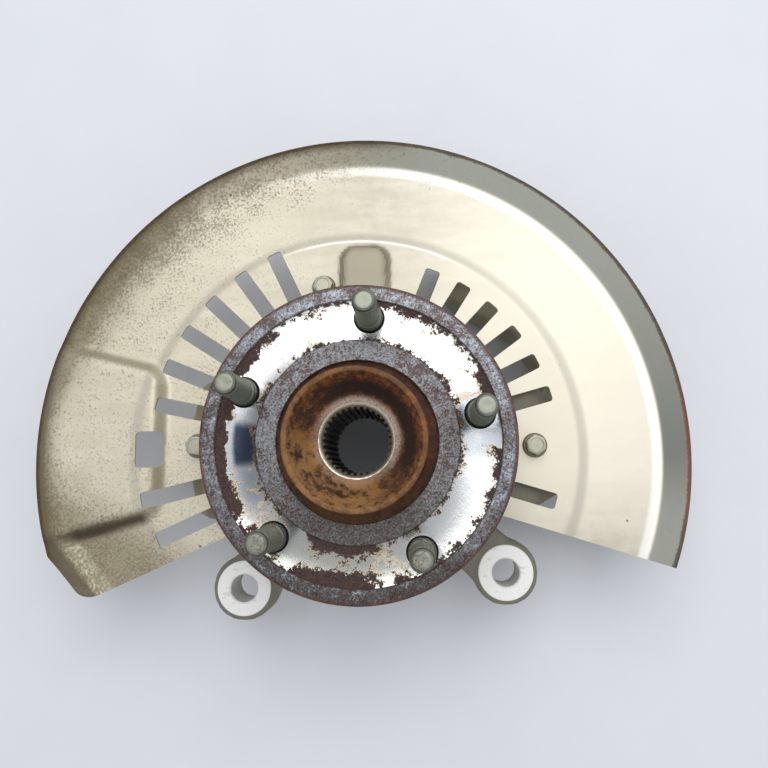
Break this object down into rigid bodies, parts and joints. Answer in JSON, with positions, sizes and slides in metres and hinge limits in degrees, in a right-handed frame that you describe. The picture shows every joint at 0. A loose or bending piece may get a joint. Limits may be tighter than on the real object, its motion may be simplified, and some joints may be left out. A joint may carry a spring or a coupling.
{
  "type": "wheel hub",
  "caption": "Used front wheel hub with studs and pilot on its bearing, carried by a cast steering knuckle with a pressed and slotted dust shield.",
  "frame": {"origin": "where the hub's axis meets the wheel mounting face", "axes": "+Z out of the mounting face, away from the car; +X towards the strut lug; the caliper ears are at -Y"},
  "size_m": [0.3825, 0.2808, 0.157],
  "materials": {
    "hub_steel": "turned, rusty and worn",
    "stud_zinc": "zinc plated, dull",
    "bearing_steel": "ground",
    "ring_steel": "forged and turned",
    "encoder": "matte",
    "seal_rubber": "matte",
    "cage_steel": "pressed",
    "bolt_steel": "phosphated",
    "shield_bolt_zinc": "zinc plated",
    "shield_zinc": "zinc plated, stained and speckled",
    "casting": "as cast, machined ears"
  },
  "bodies": {
    "knuckle": {"knuckle": "casting", "dust_shield": "shield_zinc", "bearing_outer_ring": "ring_steel", "outboard_seal": "seal_rubber", "inboard_seal": "seal_rubber", "hub_bolt_1": "bolt_steel", "hub_bolt_2": "bolt_steel", "hub_bolt_3": "bolt_steel", "hub_bolt_4": "bolt_steel", "shield_bolt_1": "shield_bolt_zinc", "shield_bolt_2": "shield_bolt_zinc", "shield_bolt_3": "shield_bolt_zinc"},
    "hub": {"hub": "hub_steel", "bearing_inner_ring": "bearing_steel", "encoder_ring": "encoder", "wheel_stud_1": "stud_zinc", "wheel_stud_2": "stud_zinc", "wheel_stud_3": "stud_zinc", "wheel_stud_4": "stud_zinc", "wheel_stud_5": "stud_zinc"},
    "outboard_roller_set": {"outboard_rollers": "bearing_steel", "outboard_cage": "cage_steel"},
    "inboard_roller_set": {"inboard_rollers": "bearing_steel", "inboard_cage": "cage_steel"}
  },
  "joints": [
    {"name": "hub_spin", "type": "hinge", "parent": "knuckle", "child": "hub", "pos_m": [0, 0, 0], "axis": [0, 0, 1], "continuous": true},
    {"name": "outboard_cage_spin", "type": "hinge", "parent": "knuckle", "child": "outboard_roller_set", "pos_m": [0, 0, 0], "axis": [0, 0, 1], "continuous": true},
    {"name": "inboard_cage_spin", "type": "hinge", "parent": "knuckle", "child": "inboard_roller_set", "pos_m": [0, 0, 0], "axis": [0, 0, 1], "continuous": true}
  ],
  "couplings": [
    {"joint": "outboard_cage_spin", "follows": "hub_spin", "ratio": 0.42576},
    {"joint": "inboard_cage_spin", "follows": "hub_spin", "ratio": 0.42576}
  ]
}
